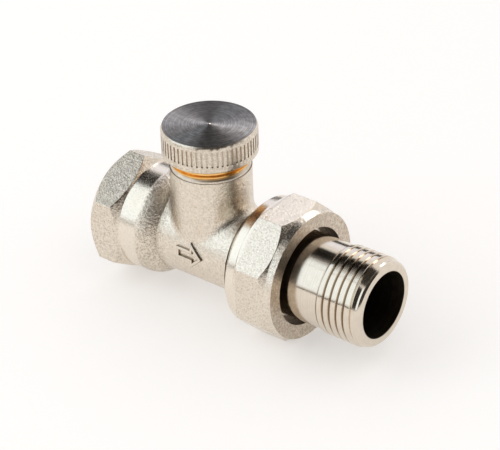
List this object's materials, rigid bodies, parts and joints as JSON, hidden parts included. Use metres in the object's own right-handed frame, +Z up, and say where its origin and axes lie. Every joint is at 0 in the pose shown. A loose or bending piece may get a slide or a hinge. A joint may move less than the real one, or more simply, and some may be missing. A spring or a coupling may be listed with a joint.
{
  "type": "manual radiator valve",
  "caption": "Straight lockshield radiator valve with a threaded inlet socket, knurled protection cap, union nut and threaded tailpiece.",
  "frame": {"origin": "centre of the inlet face, on the pipe axis", "axes": "+X along the pipe from the inlet to the tail, +Z up the neck to the cap, -Y to the picture's near side"},
  "size_m": [0.074, 0.0306, 0.0453],
  "materials": {
    "forged_nickel": "nickel-plated, grainy forged skin with turned places",
    "nut_nickel": "nickel-plated, grainy flats and a smooth turned collar",
    "cap_nickel": "nickel-plated side with knurling, finely turned grey top",
    "bright_nickel": "bright turned and nickel-plated",
    "raw_brass": "turned, unplated",
    "turned_brass": "turned, unplated",
    "spring_wire": "drawn wire",
    "seal_rubber": "moulded, matt black"
  },
  "bodies": {
    "body": {"valve_body": "forged_nickel", "bonnet": "raw_brass", "bonnet_oring": "seal_rubber"},
    "plug": {"plug": "turned_brass", "plug_clip": "spring_wire", "seat_washer": "seal_rubber", "washer_screw": "turned_brass"},
    "spindle": {"spindle": "turned_brass", "spindle_oring_lower": "seal_rubber", "spindle_oring_upper": "seal_rubber"},
    "cap_seal": {"cap_gasket": "seal_rubber"},
    "cap": {"lock_cap": "cap_nickel"},
    "tail": {"tailpiece": "bright_nickel", "tailpiece_oring": "seal_rubber"},
    "nut": {"union_nut": "nut_nickel"}
  },
  "joints": [
    {"name": "plug_lift", "type": "slide", "parent": "body", "child": "plug", "axis": [0, 0, 1], "range_m": [0, 0.0035]},
    {"name": "spindle_turn", "type": "hinge", "parent": "plug", "child": "spindle", "pos_m": [0.0265, 0, 0.0234], "axis": [0, 0, 1], "range_deg": [0, 1260]},
    {"name": "cap_lift", "type": "slide", "parent": "body", "child": "cap_seal", "axis": [0, 0, 1], "range_m": [0, 0.00375]},
    {"name": "cap_turn", "type": "hinge", "parent": "cap_seal", "child": "cap", "pos_m": [0.0265, 0, 0.03], "axis": [0, 0, 1], "range_deg": [0, 1350]},
    {"name": "tail_draw", "type": "slide", "parent": "body", "child": "tail", "axis": [1, 0, 0], "range_m": [0, 0.00726]},
    {"name": "nut_turn", "type": "hinge", "parent": "tail", "child": "nut", "pos_m": [0.0542, 0, 0], "axis": [1, 0, 0], "range_deg": [0, 1440]}
  ],
  "couplings": [
    {"joint": "spindle_turn", "follows": "plug_lift", "rad_per_m": 6283.2},
    {"joint": "cap_lift", "follows": "cap_turn", "m_per_rad": 0.00015915},
    {"joint": "tail_draw", "follows": "nut_turn", "m_per_rad": 0.00028871}
  ]
}
